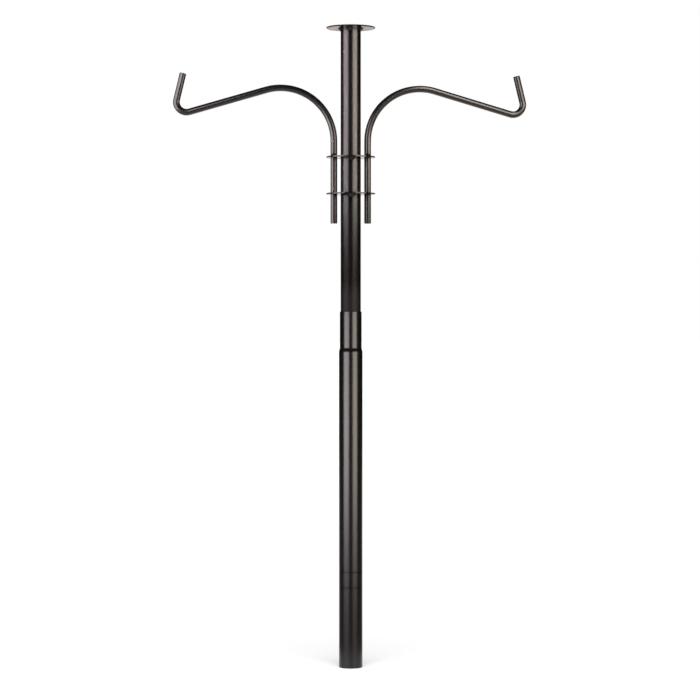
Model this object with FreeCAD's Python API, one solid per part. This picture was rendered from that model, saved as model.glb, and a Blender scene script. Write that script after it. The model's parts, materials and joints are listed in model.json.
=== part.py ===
import FreeCAD, Part
import math
import os

from FreeCAD import Vector

# A two-piece steel garden pole for hanging bird feeders. The lower pole is a tube whose top is
# swaged down to a neck. The upper pole slides down inside it and stands on a plug. It carries a
# screw-on flange at the top and two discs that hold a pair of bent, swivelling arms.
# Z is up along the pole, the arms lie along X, and Z = 0 is the open foot of the lower pole.
# All sizes are in millimetres and all angles in degrees.

# Lower pole
LOWER_TUBE_OD = 44.45
LOWER_WALL = 1.2
LOWER_POLE_LENGTH = 672.0
NECK_LENGTH = 68.0
SHOULDER_LENGTH = 8.5
SOCKET_DEPTH = 151.6
RING_DEPTH = 0.25
RING_HALF_WIDTH = 0.4
PLUG_LENGTH = 28.2
PLUG_CHAMFER = 0.6
RIM_ROUND = 0.5

# Upper pole
UPPER_TUBE_OD = 38.1
UPPER_WALL = 1.2
UPPER_POLE_LENGTH = 1026.4

# Chamfer round the foot of each pole
FOOT_CHAMFER = 0.5

# Clearances
SLIP_CLEARANCE = 0.3
SEAT_GAP = 0.3
PLUG_CLEARANCE = 0.1
PLATE_CLEARANCE = 0.1

# Top flange
FLANGE_DIAMETER = 92.0
FLANGE_THICKNESS = 2.5
SCREW_HOLE_DIAMETER = 5.2
SCREW_CIRCLE_DIAMETER = 66.0
SCREW_HOLE_COUNT = 4
SCREW_START_ANGLE = 45.0

# Arm plates, measured down from the top of the flange
PLATE_DIAMETER = 92.0
PLATE_THICKNESS = 2.5
UPPER_PLATE_DROP = 244.5
PLATE_SPACING = 69.3
EDGE_CHAMFER = 0.4

# Arms
ROD_DIAMETER = 12.7
ARM_OFFSET = 32.0
ARM_TAIL = 55.0
ARM_RISE = 28.8
ARM_BEND_RADIUS = 100.0
ARM_SLOPE = 16.4
ARM_REACH = 336.0
HOOK_BEND_RADIUS = 19.0
HOOK_LEAN = 13.5
HOOK_LENGTH = 84.0
ROD_END_CHAMFER = 0.8

# Welds
TACK_LENGTH = 12.0
FLANGE_TACK_LEG = 5.2
FLANGE_TACK_COUNT = 4
FLANGE_TACK_START_ANGLE = -104.0
PLATE_TACK_LEG = 4.6
PLATE_TACK_COUNT = 2
STOP_BEAD_RADIUS = 4.7
STOP_BEAD_PROUD = 1.8
STOP_BEAD_LIFT = 1.7

# Radii worked out from the tubes
UPPER_RADIUS = UPPER_TUBE_OD / 2
UPPER_BORE_RADIUS = UPPER_RADIUS - UPPER_WALL
LOWER_RADIUS = LOWER_TUBE_OD / 2
LOWER_BORE_RADIUS = LOWER_RADIUS - LOWER_WALL
NECK_BORE_RADIUS = UPPER_RADIUS + SLIP_CLEARANCE
NECK_RADIUS = NECK_BORE_RADIUS + LOWER_WALL
ROD_RADIUS = ROD_DIAMETER / 2

# Heights worked out from the foot of the lower pole upwards
LOWER_RING_HEIGHT = SOCKET_DEPTH + RING_HALF_WIDTH
PLUG_BOTTOM = LOWER_RING_HEIGHT + RING_HALF_WIDTH
PLUG_TOP = PLUG_BOTTOM + PLUG_LENGTH
UPPER_RING_HEIGHT = PLUG_TOP + RING_HALF_WIDTH
NECK_BOTTOM = LOWER_POLE_LENGTH - NECK_LENGTH
SHOULDER_BOTTOM = NECK_BOTTOM - SHOULDER_LENGTH
UPPER_POLE_FOOT = PLUG_TOP + SEAT_GAP
FLANGE_BOTTOM = UPPER_POLE_FOOT + UPPER_POLE_LENGTH
FLANGE_TOP = FLANGE_BOTTOM + FLANGE_THICKNESS
UPPER_PLATE_TOP = FLANGE_TOP - UPPER_PLATE_DROP
UPPER_PLATE_BOTTOM = UPPER_PLATE_TOP - PLATE_THICKNESS
LOWER_PLATE_BOTTOM = UPPER_PLATE_BOTTOM - PLATE_SPACING
ARM_FOOT = LOWER_PLATE_BOTTOM - ARM_TAIL
STOP_BEAD_SEAT = UPPER_PLATE_TOP + SEAT_GAP

ORIGIN = Vector(0, 0, 0)
UP = Vector(0, 0, 1)
FULL_TURN = 360.0
FRONT = -90.0
BACK = 90.0


def around(radius, angle, height=0.0):
    """The point at that radius, angle and height about the pole's axis."""
    turn = math.radians(angle)
    return Vector(radius * math.cos(turn), radius * math.sin(turn), height)


def even_angles(start, count):
    """That many angles, evenly spread round the pole from the start angle."""
    return [start + FULL_TURN / count * index for index in range(count)]


def ring_edges(shape, radius, height):
    """The round edges of a shape that lie at that radius and height about the pole's axis."""
    found = []
    for edge in shape.Edges:
        if not isinstance(edge.Curve, Part.Circle):
            continue
        off_axis = math.hypot(edge.Curve.Center.x, edge.Curve.Center.y)
        misfit = max(off_axis, abs(edge.Curve.Radius - radius), abs(edge.Curve.Center.z - height))
        if misfit < 1e-4:
            found.append(edge)
    return found


def s_bend(low, high):
    """Two equal tangent arcs between two points of a wall that is upright at both."""
    rise = high.z - low.z
    step = high.x - low.x
    lean = math.atan2(abs(step), rise)
    radius = math.hypot(rise, step) / (4 * math.sin(lean))
    across = math.copysign(radius * (1 - math.cos(lean)), step)
    quarter = Vector(across, 0, radius * math.sin(lean))
    middle = (low + high) * 0.5
    lower_arc = Part.Arc(low, low + quarter, middle)
    upper_arc = Part.Arc(middle, high - quarter, high)
    return [lower_arc.toShape(), upper_arc.toShape()]


def straight_runs(stations):
    """Straight edges from each point to the next."""
    return [Part.LineSegment(low, high).toShape() for low, high in zip(stations, stations[1:])]


def ring_stations(radius):
    """The points where a wall starts, dips and ends at the two rings, one at each end of the plug."""
    stations = []
    for height in (LOWER_RING_HEIGHT, UPPER_RING_HEIGHT):
        stations.append(Vector(radius, 0, height - RING_HALF_WIDTH))
        stations.append(Vector(radius - RING_DEPTH, 0, height))
        stations.append(Vector(radius, 0, height + RING_HALF_WIDTH))
    return stations


def lower_pole_side(tube_radius, neck_radius):
    """One side of the lower pole's wall: the ringed tube, the shoulder and the neck up to the rim."""
    foot = Vector(tube_radius, 0, 0)
    shoulder = Vector(tube_radius, 0, SHOULDER_BOTTOM)
    neck = Vector(neck_radius, 0, NECK_BOTTOM)
    rim = Vector(neck_radius, 0, LOWER_POLE_LENGTH)
    tube = straight_runs([foot] + ring_stations(tube_radius) + [shoulder])
    return tube + s_bend(shoulder, neck) + straight_runs([neck, rim])


def wall_end(inner_radius, outer_radius, height):
    """The edge that closes a tube's wall at one end."""
    return straight_runs([Vector(inner_radius, 0, height), Vector(outer_radius, 0, height)])


def lower_pole():
    """Tube with a swaged neck, and two narrow rings rolled into it to hold the plug between them."""
    edges = lower_pole_side(LOWER_RADIUS, NECK_RADIUS) + lower_pole_side(LOWER_BORE_RADIUS, NECK_BORE_RADIUS)
    edges += wall_end(LOWER_BORE_RADIUS, LOWER_RADIUS, 0)
    edges += wall_end(NECK_BORE_RADIUS, NECK_RADIUS, LOWER_POLE_LENGTH)
    profile = Part.Wire(Part.__sortEdges__(edges))
    tube = Part.Face(profile).revolve(ORIGIN, UP, FULL_TURN)
    tube = tube.makeChamfer(min(FOOT_CHAMFER, LOWER_WALL / 2), ring_edges(tube, LOWER_RADIUS, 0))
    return tube.makeFillet(min(RIM_ROUND, LOWER_WALL / 2), ring_edges(tube, NECK_RADIUS, LOWER_POLE_LENGTH))


def stop_plug():
    """Plug held between the rolled rings. The upper pole stands on it and a stake stops under it."""
    radius = LOWER_BORE_RADIUS - PLUG_CLEARANCE
    plug = Part.makeCylinder(radius, PLUG_LENGTH, Vector(0, 0, PLUG_BOTTOM))
    ends = ring_edges(plug, radius, PLUG_BOTTOM) + ring_edges(plug, radius, PLUG_TOP)
    return plug.makeChamfer(PLUG_CHAMFER, ends)


def upper_pole():
    """Plain tube from the plug up to the flange, chamfered at its foot to enter the neck."""
    foot = Vector(0, 0, UPPER_POLE_FOOT)
    tube = Part.makeCylinder(UPPER_RADIUS, UPPER_POLE_LENGTH, foot)
    tube = tube.makeChamfer(FOOT_CHAMFER, ring_edges(tube, UPPER_RADIUS, UPPER_POLE_FOOT))
    return tube.cut(Part.makeCylinder(UPPER_BORE_RADIUS, UPPER_POLE_LENGTH, foot))


def eased_disc(diameter, thickness, bottom):
    """Flat disc about the pole's axis, with both rims eased."""
    radius = diameter / 2
    disc = Part.makeCylinder(radius, thickness, Vector(0, 0, bottom))
    rims = ring_edges(disc, radius, bottom) + ring_edges(disc, radius, bottom + thickness)
    return disc.makeChamfer(min(EDGE_CHAMFER, thickness / 3), rims)


def drilled(disc, radius, thickness, bottom, centres):
    """The disc with one through hole at each centre."""
    for centre in centres:
        start = centre + Vector(0, 0, bottom)
        disc = disc.cut(Part.makeCylinder(radius, thickness, start))
    return disc


def top_flange():
    """Disc that closes the upper pole and takes the screws of a feeder or a house."""
    angles = even_angles(SCREW_START_ANGLE, SCREW_HOLE_COUNT)
    centres = [around(SCREW_CIRCLE_DIAMETER / 2, angle) for angle in angles]
    disc = eased_disc(FLANGE_DIAMETER, FLANGE_THICKNESS, FLANGE_BOTTOM)
    return drilled(disc, SCREW_HOLE_DIAMETER / 2, FLANGE_THICKNESS, FLANGE_BOTTOM, centres)


def arm_plate(bottom):
    """Disc on the upper pole with a hole on each side for the shank of an arm."""
    disc = eased_disc(PLATE_DIAMETER, PLATE_THICKNESS, bottom)
    disc = drilled(disc, UPPER_RADIUS + PLATE_CLEARANCE, PLATE_THICKNESS, bottom, [ORIGIN])
    shanks = [Vector(ARM_OFFSET, 0, 0), Vector(-ARM_OFFSET, 0, 0)]
    return drilled(disc, ROD_RADIUS + SLIP_CLEARANCE, PLATE_THICKNESS, bottom, shanks)


def corner_weld(leg, under):
    """Ring of weld in the corner between the upper pole and the underside of a disc."""
    corner = Vector(UPPER_RADIUS, 0, under)
    out = corner + Vector(leg, 0, 0)
    down = corner - Vector(0, 0, leg)
    edges = straight_runs([corner, out, down, corner])
    return Part.Face(Part.Wire(edges)).revolve(ORIGIN, UP, FULL_TURN)


def tack_welds(leg, under, angles):
    """Short welds at some angles round the upper pole, under a disc."""
    ring = corner_weld(leg, under)
    reach = UPPER_RADIUS + 2 * leg
    tacks = []
    for angle in angles:
        cutter = Part.makeCylinder(TACK_LENGTH / 2, reach, Vector(0, 0, under), around(1, angle))
        tacks.extend(ring.common(cutter).Solids)
    return Part.makeCompound(tacks)


def heading(side, angle):
    """Unit direction in an arm's own plane: 0 points away from the pole and 90 points up."""
    turn = math.radians(angle)
    return Vector(side * math.cos(turn), 0, math.sin(turn))


def bend(side, start, angle, radius, turn):
    """Tangent arc from start, which heads along angle, and its end point. A positive turn is up."""
    upward = math.copysign(90, turn)
    centre = start + heading(side, angle + upward) * radius
    middle = centre + heading(side, angle - upward + turn / 2) * radius
    end = centre + heading(side, angle - upward + turn) * radius
    return Part.Arc(start, middle, end).toShape(), end


def arm(side):
    """Round rod: upright shank, wide bend outwards, gentle fall, and a hook that turns back up."""
    foot = Vector(side * ARM_OFFSET, 0, ARM_FOOT)
    shank_top = Vector(side * ARM_OFFSET, 0, UPPER_PLATE_TOP + ARM_RISE)
    wide_bend, fall_start = bend(side, shank_top, 90, ARM_BEND_RADIUS, -90 - ARM_SLOPE)
    hook_turn = 90 + ARM_SLOPE + HOOK_LEAN
    hook_tangent = HOOK_BEND_RADIUS * math.tan(math.radians(hook_turn / 2))
    fall_to_corner = (ARM_REACH - abs(fall_start.x)) / math.cos(math.radians(ARM_SLOPE))
    fall_end = fall_start + heading(side, -ARM_SLOPE) * (fall_to_corner - hook_tangent)
    hook_bend, tip_start = bend(side, fall_end, -ARM_SLOPE, HOOK_BEND_RADIUS, hook_turn)
    tip = tip_start + heading(side, 90 + HOOK_LEAN) * (HOOK_LENGTH - hook_tangent)
    path = Part.Wire([
        Part.LineSegment(foot, shank_top).toShape(),
        wide_bend,
        Part.LineSegment(fall_start, fall_end).toShape(),
        hook_bend,
        Part.LineSegment(tip_start, tip).toShape(),
    ])
    section = Part.Wire(Part.Circle(foot, UP, ROD_RADIUS).toShape())
    rod = path.makePipeShell([section], True, True)
    ends = []
    for edge in rod.Edges:
        is_circle = isinstance(edge.Curve, Part.Circle) and edge.isClosed()
        if is_circle and min((edge.Curve.Center - point).Length for point in (foot, tip)) < 1e-3:
            ends.append(edge)
    return rod.makeChamfer(ROD_END_CHAMFER, ends)


def stop_beads(side):
    """Two round weld beads on an arm's shank, front and back, whose flat seats rest on the upper plate."""
    seat = Vector(side * ARM_OFFSET, 0, STOP_BEAD_SEAT)
    shank = Part.makeCylinder(ROD_RADIUS, 2 * STOP_BEAD_RADIUS, seat)
    above_seat = Part.makeCylinder(ROD_RADIUS + 2 * STOP_BEAD_PROUD, 2 * STOP_BEAD_RADIUS, seat)
    inset = ROD_RADIUS + STOP_BEAD_PROUD - STOP_BEAD_RADIUS
    beads = []
    for angle in (FRONT, BACK):
        ball = Part.makeSphere(STOP_BEAD_RADIUS, seat + around(inset, angle, STOP_BEAD_LIFT))
        beads.extend(ball.common(above_seat).cut(shank).Solids)
    return Part.makeCompound(beads)


def build():
    """Every piece of the pole by its name."""
    flange_angles = even_angles(FLANGE_TACK_START_ANGLE, FLANGE_TACK_COUNT)
    plate_angles = even_angles(FRONT, PLATE_TACK_COUNT)
    return {
        "lower_pole": lower_pole(),
        "stop_plug": stop_plug(),
        "upper_pole": upper_pole(),
        "top_flange": top_flange(),
        "flange_weld": tack_welds(FLANGE_TACK_LEG, FLANGE_BOTTOM, flange_angles),
        "upper_arm_plate": arm_plate(UPPER_PLATE_BOTTOM),
        "upper_plate_welds": tack_welds(PLATE_TACK_LEG, UPPER_PLATE_BOTTOM, plate_angles),
        "lower_arm_plate": arm_plate(LOWER_PLATE_BOTTOM),
        "lower_plate_welds": tack_welds(PLATE_TACK_LEG, LOWER_PLATE_BOTTOM, plate_angles),
        "left_arm": arm(-1),
        "left_stop_beads": stop_beads(-1),
        "right_arm": arm(1),
        "right_stop_beads": stop_beads(1),
    }


os.makedirs("parts", exist_ok=True)
for name, shape in build().items():
    shape.exportStep("parts/" + name + ".step")
    solids = len(shape.Solids)
    print(f"{name}: {solids} solid(s), {shape.Volume:.1f} mm3, valid {shape.isValid()}")
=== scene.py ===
import json
import math
from collections import namedtuple

import bpy
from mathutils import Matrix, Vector

# Looks for a coated steel bird feeder pole: its finishes, a plain white studio and the camera.
# Everything is in metres, in the part's own frame: Z up along the pole and the arms along X.
# Bearings are degrees round the pole's axis, counted from the camera towards the right of the picture.

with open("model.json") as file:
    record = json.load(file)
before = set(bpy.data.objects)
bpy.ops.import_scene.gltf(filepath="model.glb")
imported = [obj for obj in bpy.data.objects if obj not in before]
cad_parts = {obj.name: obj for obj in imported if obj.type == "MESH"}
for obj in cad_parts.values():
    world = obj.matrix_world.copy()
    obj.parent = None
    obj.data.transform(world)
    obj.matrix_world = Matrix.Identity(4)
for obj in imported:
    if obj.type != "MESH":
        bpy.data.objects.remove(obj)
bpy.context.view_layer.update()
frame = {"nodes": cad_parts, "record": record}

WHITE = (1.0, 1.0, 1.0, 1.0)
BLACK = (0.0, 0.0, 0.0, 1.0)
FULL_TURN = 360.0

# The turn about X that makes a lamp or a camera look level
LEVEL = math.pi / 2

# Camera, level and a little to the left of straight on
CAMERA_AZIMUTH = math.radians(-5.0)
CAMERA_DISTANCE = 4.35
CAMERA_HEIGHT = 0.66
PHOTO_SIDE = 700
FOCAL_PIXELS = 2300.0
HORIZON_ROW = 318.0
POLE_COLUMN = 350.75
SENSOR_WIDTH = 36.0

# Softboxes to the left and right of the camera, which light only the gloss of the coat. Each body has its
# own, and so have the discs, whose boxes are low so that their tops stay dark. A box stands at a distance
# from the pole's axis and spans two bearings and two heights. The uneven share of its light comes from a
# second lamp at the same place with rougher sampling, so that a smooth tube is sampled for longer and its
# edges come out clean.
SOFTBOX_VALUES = ("distance", "bearings", "heights", "radiance", "colour", "uneven")
Softbox = namedtuple("Softbox", SOFTBOX_VALUES, defaults=(0.0,))
POLE_UNEVEN = 0.10
ARM_UNEVEN = 0.02
LEFT_COLOUR = (1.0, 0.86, 0.90)
LOW_LEFT_COLOUR = (1.0, 0.90, 0.92)
RIGHT_COLOUR = (1.0, 0.88, 0.77)
SOFTBOXES = {
    "ground_section": [
        Softbox(2.0, (-70, -19), (0.10, 0.79), 10.2, LOW_LEFT_COLOUR),
        Softbox(2.0, (20, 64), (0.10, 0.92), 8.8, RIGHT_COLOUR),
    ],
    "top_section": [
        Softbox(0.9, (-89, -31), (0.91, 1.9), 8.2, LEFT_COLOUR, POLE_UNEVEN),
        Softbox(0.9, (24, 76), (0.91, 1.9), 9.0, RIGHT_COLOUR, POLE_UNEVEN),
    ],
    "discs": [
        Softbox(2.0, (-89, -31), (0.97, 1.27), 8.7, LEFT_COLOUR),
        Softbox(2.0, (24, 76), (0.97, 1.27), 9.2, RIGHT_COLOUR),
    ],
    "left_arm": [
        Softbox(1.2, (-90, -28), (0.50, 1.6), 9.5, LEFT_COLOUR, ARM_UNEVEN),
        Softbox(0.75, (-50, -22), (1.2, 1.65), 12.0, LEFT_COLOUR),
        Softbox(1.2, (26, 80), (0.95, 1.35), 9.5, RIGHT_COLOUR, ARM_UNEVEN),
    ],
    "right_arm": [
        Softbox(1.2, (-90, -26), (0.88, 1.6), 9.5, LEFT_COLOUR, ARM_UNEVEN),
        Softbox(1.2, (26, 80), (0.94, 1.35), 11.0, RIGHT_COLOUR, ARM_UNEVEN),
        Softbox(1.2, (17, 44), (1.30, 3.8), 13.6, RIGHT_COLOUR),
    ],
}

DISCS = ("top_flange", "upper_arm_plate", "lower_arm_plate")

# Bright cards that only the gloss sees: one on the floor for the arms, turned to face up, and one overhead
# for the discs, which faces down
Card = namedtuple("Card", ("side", "height", "radiance", "tilt"))
CARD_COLOUR = (1.0, 0.95, 0.93)
FLOOR_CARD = Card(side=6.0, height=0.02, radiance=0.9, tilt=math.pi)
TOP_CARD = Card(side=2.4, height=3.0, radiance=1.2, tilt=0.0)

# Plain light for everything else, with a sun that is tilted from overhead towards the camera
SUN_STRENGTH = 2.6
SUN_DISTANCE = 2.0
SUN_HEIGHT = 5.0
SUN_TILT = math.radians(30.0)
SUN_SOFTNESS = math.radians(40.0)
AMBIENT = 0.3

# Surroundings that only the gloss sees: a dark wall and ceiling with a gap straight behind the pole, and a
# floor that is grey in front of the pole and beside it, warm behind it and open to the white floor close
# to it
DARK_RADIUS = 6.0
DARK_HEIGHT = 5.0
DARK_END_BEARING = 175.5
BAND_PANELS = 39
OPEN_FLOOR_RADIUS = 0.2
GLOSS_FLOOR_HEIGHT = 0.001
GREY_FLOOR_END_BEARING = 134.0
GREY_FLOOR_RADIANCE = 0.17
WARM_FLOOR_RADIUS = 12.0
WARM_FLOOR_RADIANCE = 0.90
WARM_FLOOR_COLOUR = (1.0, 0.86, 0.80, 1.0)

# White floor
FLOOR_HALF_SIDE = 60.0
FLOOR_COLOUR = (0.75, 0.75, 0.75, 1.0)
FLOOR_ROUGHNESS = 0.9
FLOOR_LIFT = 0.3

# Coat, two tones mottled together with a fine orange peel
COAT_DARK = (0.0045, 0.0037, 0.0033, 1.0)
COAT_LIGHT = (0.0065, 0.0054, 0.0048, 1.0)
COAT_IOR = 1.45
COAT_ROUGHNESS = 0.26
ROUGHNESS_SPREAD = 0.03
MOTTLE_SIZE = 0.035
MOTTLE_DETAIL = 4.0
PEEL_SIZE = 0.0011
PEEL_DETAIL = 2.0
PEEL_STRENGTH = 1.0
PEEL_DEPTH = 0.000005

# The coat on the discs, the beads and the welds
PLATE_ROUGHNESS = 0.12
BEAD_ROUGHNESS = 0.3
# The beads' coat reflects very little, so that they come out dark: painted shade for the dark band above
# each disc
BEAD_SHADE_IOR = 1.15
WELD_ROUGHNESS = 0.5
WELD_DARK = (0.026, 0.022, 0.020, 1.0)
WELD_LIGHT = (0.042, 0.036, 0.032, 1.0)

# Heights between which the coat dulls towards the lower end of the upper pole
DULL_FROM = 0.74
DULL_TO = 0.69
DULL_ROUGHNESS = 0.41

# Painted shade: dark lines at the two rings rolled into the lower pole, where the coat reflects as little
# as a dark metal
RING_HEIGHTS = (0.152, 0.181)
RING_SHADE_HALF_HEIGHT = 0.001

# Black plastic of the plug
PLUG_DARK = (0.010, 0.010, 0.010, 1.0)
PLUG_LIGHT = (0.020, 0.020, 0.020, 1.0)
PLUG_LEAST_ROUGHNESS = 0.5
PLUG_MOST_ROUGHNESS = 0.65
PLUG_GRAIN_SIZE = 0.002
PLUG_GRAIN_DETAIL = 3.0


def bearing_point(bearing, distance, height):
    """The point at a bearing, a distance from the pole's axis and a height."""
    turn = CAMERA_AZIMUTH + math.radians(bearing)
    return Vector((distance * math.sin(turn), -distance * math.cos(turn), height))


def new_material(name):
    """A node material, with its nodes, its links and its shader."""
    material = bpy.data.materials.new(name)
    material.use_nodes = True
    nodes = material.node_tree.nodes
    return material, nodes, material.node_tree.links, nodes["Principled BSDF"]


def noise(nodes, links, coordinates, size, detail):
    """A value from 0 to 1 that varies in grains of about the given size."""
    texture = nodes.new("ShaderNodeTexNoise")
    texture.inputs["Scale"].default_value = 1.0 / size
    texture.inputs["Detail"].default_value = detail
    links.new(coordinates.outputs["Object"], texture.inputs["Vector"])
    return texture.outputs["Fac"]


def spread(nodes, links, source, low, high):
    """A value from low to high as the source goes from 0 to 1."""
    mapped = nodes.new("ShaderNodeMapRange")
    mapped.inputs["To Min"].default_value = low
    mapped.inputs["To Max"].default_value = high
    links.new(source, mapped.inputs["Value"])
    return mapped.outputs["Result"]


def combine(nodes, links, operation, values):
    """One value from several, taken together one after another with the same operation."""
    result, *others = values
    for other in others:
        step = nodes.new("ShaderNodeMath")
        step.operation = operation
        links.new(result, step.inputs[0])
        links.new(other, step.inputs[1])
        result = step.outputs["Value"]
    return result


def mix_tones(nodes, links, shader, pattern, dark, light):
    """Colours a shader from dark to light as the pattern goes from 0 to 1."""
    colour = nodes.new("ShaderNodeMix")
    colour.data_type = "RGBA"
    colour.inputs["A"].default_value = dark
    colour.inputs["B"].default_value = light
    links.new(pattern, colour.inputs["Factor"])
    links.new(colour.outputs["Result"], shader.inputs["Base Color"])


def coat_material(name, roughness, dark=COAT_DARK, light=COAT_LIGHT, ior=COAT_IOR):
    """Semi-gloss bronze-black coat with a fine orange peel."""
    material, nodes, links, shader = new_material(name)
    coordinates = nodes.new("ShaderNodeTexCoord")
    mottle = noise(nodes, links, coordinates, MOTTLE_SIZE, MOTTLE_DETAIL)
    mix_tones(nodes, links, shader, mottle, dark, light)
    half = ROUGHNESS_SPREAD / 2
    gloss = spread(nodes, links, mottle, roughness - half, roughness + half)
    links.new(gloss, shader.inputs["Roughness"])

    peel = noise(nodes, links, coordinates, PEEL_SIZE, PEEL_DETAIL)
    bump = nodes.new("ShaderNodeBump")
    bump.inputs["Strength"].default_value = PEEL_STRENGTH
    bump.inputs["Distance"].default_value = PEEL_DEPTH
    links.new(peel, bump.inputs["Height"])
    links.new(bump.outputs["Normal"], shader.inputs["Normal"])
    shader.inputs["IOR"].default_value = ior
    return material


def height_in(material):
    """The nodes, links and shader of a material, with the height of the shaded point along the pole."""
    nodes = material.node_tree.nodes
    links = material.node_tree.links
    coordinates = nodes.new("ShaderNodeTexCoord")
    place = nodes.new("ShaderNodeSeparateXYZ")
    links.new(coordinates.outputs["Object"], place.inputs["Vector"])
    return nodes, links, nodes["Principled BSDF"], place.outputs["Z"]


def upper_pole_material():
    """The coat, dulled towards the lower end of the upper pole."""
    material = coat_material("upper_pole_coat", COAT_ROUGHNESS)
    nodes, links, shader, height = height_in(material)
    fade = nodes.new("ShaderNodeMapRange")
    fade.interpolation_type = "SMOOTHSTEP"
    fade.inputs["From Min"].default_value = DULL_FROM
    fade.inputs["From Max"].default_value = DULL_TO
    fade.inputs["To Min"].default_value = 0.0
    fade.inputs["To Max"].default_value = DULL_ROUGHNESS - COAT_ROUGHNESS
    links.new(height, fade.inputs["Value"])
    gloss = shader.inputs["Roughness"].links[0].from_socket
    dulled = combine(nodes, links, "ADD", (gloss, fade.outputs["Result"]))
    links.new(dulled, shader.inputs["Roughness"])
    return material


def lower_pole_material():
    """The coat, with painted shade in dark lines at the rolled rings, where it reflects as little as a dark
    metal.
    """
    material = coat_material("lower_pole_coat", COAT_ROUGHNESS)
    nodes, links, shader, height = height_in(material)
    ring_shades = []
    for ring_height in RING_HEIGHTS:
        ring_shade = nodes.new("ShaderNodeMath")
        ring_shade.operation = "COMPARE"
        ring_shade.inputs[1].default_value = ring_height
        ring_shade.inputs[2].default_value = RING_SHADE_HALF_HEIGHT
        links.new(height, ring_shade.inputs[0])
        ring_shades.append(ring_shade.outputs["Value"])
    links.new(combine(nodes, links, "ADD", ring_shades), shader.inputs["Metallic"])
    return material


def plug_material():
    """Black moulded plastic."""
    material, nodes, links, shader = new_material("plug_plastic")
    coordinates = nodes.new("ShaderNodeTexCoord")
    grain = noise(nodes, links, coordinates, PLUG_GRAIN_SIZE, PLUG_GRAIN_DETAIL)
    mix_tones(nodes, links, shader, grain, PLUG_DARK, PLUG_LIGHT)
    roughness = spread(nodes, links, grain, PLUG_LEAST_ROUGHNESS, PLUG_MOST_ROUGHNESS)
    links.new(roughness, shader.inputs["Roughness"])
    return material


def finish_nodes():
    """A finish on every piece of the part."""
    rod = coat_material("pole_coat", COAT_ROUGHNESS)
    plate = coat_material("plate_coat", PLATE_ROUGHNESS)
    bead = coat_material("bead_coat", BEAD_ROUGHNESS, ior=BEAD_SHADE_IOR)
    weld = coat_material("weld_coat", WELD_ROUGHNESS, WELD_DARK, WELD_LIGHT)
    finishes = {
        "lower_pole": lower_pole_material(),
        "stop_plug": plug_material(),
        "upper_pole": upper_pole_material(),
        "top_flange": plate,
        "flange_weld": weld,
        "upper_arm_plate": plate,
        "upper_plate_welds": weld,
        "lower_arm_plate": plate,
        "lower_plate_welds": weld,
        "left_arm": rod,
        "left_stop_beads": bead,
        "right_arm": rod,
        "right_stop_beads": bead,
    }
    for name, node in frame["nodes"].items():
        node.data.materials.clear()
        node.data.materials.append(finishes[name])


def stage_piece(name, panels):
    """A piece of the stage made of flat panels, each a list of its corners."""
    corners = []
    faces = []
    for panel in panels:
        faces.append(range(len(corners), len(corners) + len(panel)))
        corners.extend(panel)
    mesh = bpy.data.meshes.new(name)
    mesh.from_pydata(corners, [], faces)
    piece = bpy.data.objects.new(name, mesh)
    bpy.context.scene.collection.objects.link(piece)
    return piece


def background_rays(nodes, links):
    """1 for the rays that show the white surroundings, in view, in gloss and in glass, and 0 for others."""
    path = nodes.new("ShaderNodeLightPath")
    kinds = ("Is Camera Ray", "Is Glossy Ray", "Is Transmission Ray")
    return combine(nodes, links, "MAXIMUM", [path.outputs[kind] for kind in kinds])


def make_world():
    """White surroundings in view and in gloss, and a low even light on everything."""
    world = bpy.data.worlds.new("studio")
    bpy.context.scene.world = world
    world.use_nodes = True
    nodes = world.node_tree.nodes
    links = world.node_tree.links
    strength = spread(nodes, links, background_rays(nodes, links), AMBIENT, 1.0)
    nodes["Background"].inputs["Color"].default_value = WHITE
    links.new(strength, nodes["Background"].inputs["Strength"])


def make_floor():
    """White floor that shows the pole's soft shadow."""
    far = FLOOR_HALF_SIDE
    floor = stage_piece("floor", [[(-far, -far, 0), (far, -far, 0), (far, far, 0), (-far, far, 0)]])
    material, nodes, links, shader = new_material("floor_white")
    shader.inputs["Base Color"].default_value = FLOOR_COLOUR
    shader.inputs["Roughness"].default_value = FLOOR_ROUGHNESS
    shader.inputs["Specular IOR Level"].default_value = 0.0
    shader.inputs["Emission Color"].default_value = WHITE
    lift = spread(nodes, links, background_rays(nodes, links), 0.0, FLOOR_LIFT)
    links.new(lift, shader.inputs["Emission Strength"])
    floor.data.materials.append(material)


def band_of_panels(inner, outer, start_bearing, end_bearing):
    """Panels between two round rims, each a radius and a height, from one bearing to another."""
    step = (end_bearing - start_bearing) / BAND_PANELS
    panels = []
    for index in range(BAND_PANELS):
        start = start_bearing + index * step
        end = start + step
        inside = [bearing_point(start, *inner), bearing_point(end, *inner)]
        panels.append(inside + [bearing_point(end, *outer), bearing_point(start, *outer)])
    return panels


def gloss_surface(name, panels, radiance, colour):
    """A stage piece that shows only in the coat's gloss, at an even radiance."""
    piece = stage_piece(name, panels)
    piece.visible_camera = False
    piece.visible_diffuse = False
    piece.visible_transmission = False
    piece.visible_shadow = False
    material, *_, shader = new_material(name)
    shader.inputs["Base Color"].default_value = BLACK
    shader.inputs["Specular IOR Level"].default_value = 0.0
    shader.inputs["Emission Color"].default_value = colour
    shader.inputs["Emission Strength"].default_value = radiance
    piece.data.materials.append(material)


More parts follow.
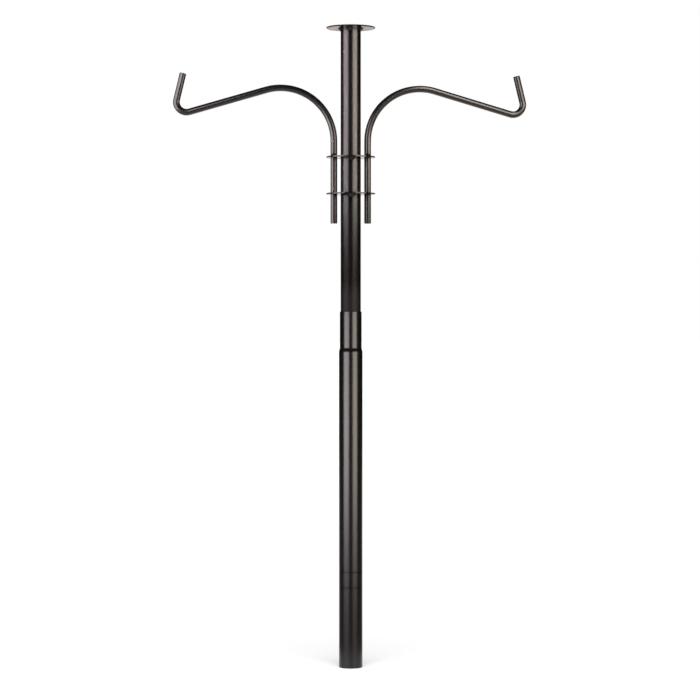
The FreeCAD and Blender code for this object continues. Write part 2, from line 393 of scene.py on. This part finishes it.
def make_gloss_surroundings():
    """Dark wall and ceiling, a grey floor in front of the pole and beside it, and a warm one behind it."""
    dark_sides = (-DARK_END_BEARING, DARK_END_BEARING)
    wall_foot = (DARK_RADIUS, GLOSS_FLOOR_HEIGHT)
    wall_top = (DARK_RADIUS, DARK_HEIGHT)
    wall = band_of_panels(wall_foot, wall_top, *dark_sides)
    ceiling = band_of_panels(wall_top, (0.0, DARK_HEIGHT), *dark_sides)
    gloss_surface("dark_surroundings", wall + ceiling, 0.0, WHITE)

    floor_hole = (OPEN_FLOOR_RADIUS, GLOSS_FLOOR_HEIGHT)
    grey_end = GREY_FLOOR_END_BEARING
    grey = band_of_panels(floor_hole, wall_foot, -grey_end, grey_end)
    gloss_surface("grey_floor", grey, GREY_FLOOR_RADIANCE, WHITE)
    far_edge = (WARM_FLOOR_RADIUS, GLOSS_FLOOR_HEIGHT)
    warm = band_of_panels(floor_hole, far_edge, grey_end, FULL_TURN - grey_end)
    gloss_surface("warm_floor", warm, WARM_FLOOR_RADIANCE, WARM_FLOOR_COLOUR)


def add_lamp(name, light, location, turn):
    """Puts a lamp in the scene, out of the camera's sight."""
    lamp = bpy.data.objects.new(name, light)
    lamp.location = location
    lamp.rotation_euler = turn
    lamp.visible_camera = False
    bpy.context.scene.collection.objects.link(lamp)
    return lamp


def gloss_light(name, size, radiance, colour, location, turn, receivers):
    """A rectangular soft light that shows only in the gloss of the pieces in one collection."""
    width, height = size
    light = bpy.data.lights.new(name, "AREA")
    light.shape = "RECTANGLE"
    light.size = width
    light.size_y = height
    light.energy = radiance * math.pi * width * height
    light.color = colour
    lamp = add_lamp(name, light, location, turn)
    lamp.visible_diffuse = False
    lamp.light_linking.receiver_collection = receivers
    return light


def softbox(name, box, receivers):
    """An upright soft light that faces the pole and spans the box's bearings and heights."""
    left, right = box.bearings
    bottom, top = box.heights
    bearing = (left + right) / 2
    width = 2 * box.distance * math.tan(math.radians(right - left) / 2)
    size = (width, top - bottom)
    location = bearing_point(bearing, box.distance, (top + bottom) / 2)
    turn = (LEVEL, 0.0, CAMERA_AZIMUTH + math.radians(bearing))
    uneven = box.radiance * box.uneven
    gloss_light(name, size, box.radiance - uneven, box.colour, location, turn, receivers)
    if uneven:
        light = gloss_light(f"{name}_uneven", size, uneven, box.colour, location, turn, receivers)
        light.cycles.use_multiple_importance_sampling = False


def level_card(name, card, receivers):
    """A bright square card that lies level above or below the part."""
    size = (card.side, card.side)
    location = (0.0, 0.0, card.height)
    gloss_light(name, size, card.radiance, CARD_COLOUR, location, (card.tilt, 0.0, 0.0), receivers)


def gloss_groups():
    """The names of the pieces that share softboxes: those of each body, with the discs apart."""
    groups = {"discs": DISCS}
    for body, names in frame["record"]["behaviour"]["bodies"].items():
        groups[body] = [name for name in names if name not in DISCS]
    return groups


def make_gloss_lights():
    """The softboxes and cards of each group."""
    for group, names in gloss_groups().items():
        receivers = bpy.data.collections.new(f"{group}_gloss")
        for name in names:
            receivers.objects.link(frame["nodes"][name])
        for index, box in enumerate(SOFTBOXES[group]):
            softbox(f"{group}_softbox_{index}", box, receivers)
        if group.endswith("_arm"):
            level_card(f"{group}_floor_card", FLOOR_CARD, receivers)
        if group == "discs":
            level_card(f"{group}_top_card", TOP_CARD, receivers)


def plain_sun():
    """A very soft light from above the camera that gives the plain level and the floor's shadow."""
    light = bpy.data.lights.new("plain_sun", "SUN")
    light.energy = SUN_STRENGTH
    light.angle = SUN_SOFTNESS
    location = bearing_point(0.0, SUN_DISTANCE, SUN_HEIGHT)
    lamp = add_lamp("plain_sun", light, location, (SUN_TILT, 0.0, CAMERA_AZIMUTH))
    lamp.visible_glossy = False


def make_camera():
    """The photograph's view."""
    data = bpy.data.cameras.new("camera")
    data.sensor_width = SENSOR_WIDTH
    data.lens = FOCAL_PIXELS / PHOTO_SIDE * SENSOR_WIDTH
    data.shift_x = (PHOTO_SIDE / 2 - POLE_COLUMN) / PHOTO_SIDE
    data.shift_y = (HORIZON_ROW - PHOTO_SIDE / 2) / PHOTO_SIDE
    camera = bpy.data.objects.new("camera", data)
    camera.location = bearing_point(0.0, CAMERA_DISTANCE, CAMERA_HEIGHT)
    camera.rotation_euler = (LEVEL, 0.0, CAMERA_AZIMUTH)
    bpy.context.scene.collection.objects.link(camera)
    bpy.context.scene.camera = camera


finish_nodes()
make_world()
make_floor()
make_gloss_surroundings()
plain_sun()
make_gloss_lights()
make_camera()
bpy.context.scene.view_settings.view_transform = "Standard"
